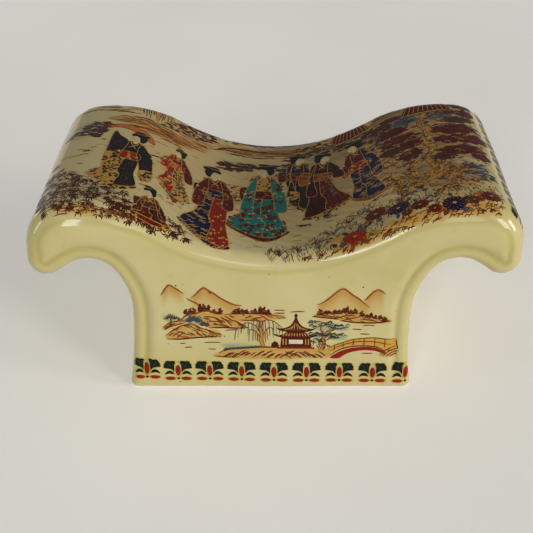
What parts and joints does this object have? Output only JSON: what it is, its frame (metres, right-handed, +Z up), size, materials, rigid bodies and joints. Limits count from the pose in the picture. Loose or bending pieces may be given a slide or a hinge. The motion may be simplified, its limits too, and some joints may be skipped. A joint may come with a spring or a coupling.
{
  "type": "ceramic pillow",
  "caption": "Hollow slab-built ceramic pillow with a saddle-shaped headrest, scrolled wings over a waisted foot, raised front and back panels and painted enamel decoration.",
  "frame": {"origin": "on the floor under the middle of the foot", "axes": "+X along the pillow from wing to wing, -Y towards the painted front, +Z up"},
  "size_m": [0.328, 0.175, 0.1485],
  "materials": {
    "glazed_body": "glossy ivory glaze over pale stoneware, painted with enamels",
    "bare_clay": "unglazed fired clay, matt",
    "joining_slip": "fired slip and clay coil, matt"
  },
  "bodies": {
    "root": {"headrest_slab": "glazed_body", "left_side_wall": "glazed_body", "right_side_wall": "glazed_body", "front_panel": "glazed_body", "back_panel": "glazed_body", "base_slab": "bare_clay", "front_luting_coil": "joining_slip", "back_luting_coil": "joining_slip", "left_lip_bead": "joining_slip", "right_lip_bead": "joining_slip"}
  },
  "joints": []
}
